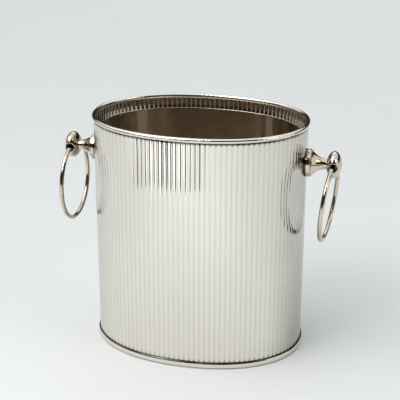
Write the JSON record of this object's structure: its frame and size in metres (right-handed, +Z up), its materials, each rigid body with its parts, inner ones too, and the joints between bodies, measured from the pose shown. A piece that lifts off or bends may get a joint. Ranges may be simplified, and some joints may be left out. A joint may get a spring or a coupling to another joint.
{
  "type": "champagne bucket",
  "caption": "Oval double-walled champagne bucket with a reeded silver wall, rolled rim, half-round foot and a loose ring handle on a turned post at each end.",
  "frame": {"origin": "centre of the base, on the surface that the bucket stands on", "axes": "+Z up; +X along the long axis of the oval, through the two handle posts; +Y along the short axis"},
  "size_m": [0.2698, 0.1512, 0.2276],
  "materials": {
    "polished_silver": "polished, warm white nickel silver with silver plate",
    "liner_silver": "smooth spun sheet, lightly worn by ice and bottles",
    "plain_plate": "plain plated sheet, satin",
    "brass_core": "bare drawn brass",
    "screw_steel": "machined steel",
    "pad_rubber": "dense black rubber, matt"
  },
  "bodies": {
    "bucket": {"outer_shell": "polished_silver", "rim_bead": "polished_silver", "rim_wire": "brass_core", "foot_ring": "polished_silver", "bottom_plate": "plain_plate", "liner_ledge": "polished_silver", "liner_wall": "liner_silver", "liner_floor": "liner_silver", "liner_pads": "pad_rubber", "left_collar": "polished_silver", "right_collar": "polished_silver", "left_post": "polished_silver", "right_post": "polished_silver", "left_backing_plate": "plain_plate", "right_backing_plate": "plain_plate", "handle_washers": "brass_core", "handle_screws": "screw_steel"},
    "left_handle": {"left_ring": "polished_silver"},
    "right_handle": {"right_ring": "polished_silver"}
  },
  "joints": [
    {"name": "left_ring_swing", "type": "hinge", "parent": "bucket", "child": "left_handle", "pos_m": [-0.1275, 0, 0.1886], "axis": [0, 1, 0], "range_deg": [-18, 218]},
    {"name": "right_ring_swing", "type": "hinge", "parent": "bucket", "child": "right_handle", "pos_m": [0.1275, 0, 0.1886], "axis": [0, -1, 0], "range_deg": [-13, 220]}
  ]
}
